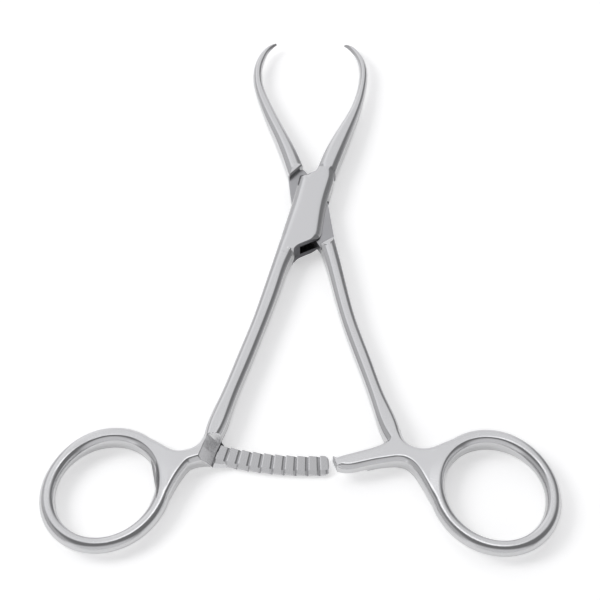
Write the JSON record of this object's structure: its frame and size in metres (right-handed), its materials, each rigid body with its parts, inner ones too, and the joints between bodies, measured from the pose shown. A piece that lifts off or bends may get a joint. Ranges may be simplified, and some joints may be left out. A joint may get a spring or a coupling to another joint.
{
  "type": "bone reduction forceps",
  "caption": "Ring-handled bone reduction forceps with curved pointed jaws, a box lock and a ratchet between the handles.",
  "frame": {"origin": "where the pivot axis meets the flat rear face of the box lock", "axes": "+Z along the pivot axis out of the front face, +Y towards the jaw tips, +X to the right in the front view"},
  "size_m": [0.1021, 0.135, 0.005],
  "materials": {
    "female_arm_steel": "satin-polished stainless steel with a mirror-like flank",
    "male_arm_steel": "satin-polished stainless steel with a mirror-like flank",
    "pin_steel": "stainless steel, riveted and ground flush"
  },
  "bodies": {
    "female_arm": {"female_arm": "female_arm_steel", "pivot_pin": "pin_steel"},
    "male_arm": {"male_arm": "male_arm_steel"}
  },
  "joints": [
    {"name": "box_lock_hinge", "type": "hinge", "parent": "female_arm", "child": "male_arm", "pos_m": [0, 0, 0], "axis": [0, 0, 1], "range_deg": [-17, 30]}
  ]
}
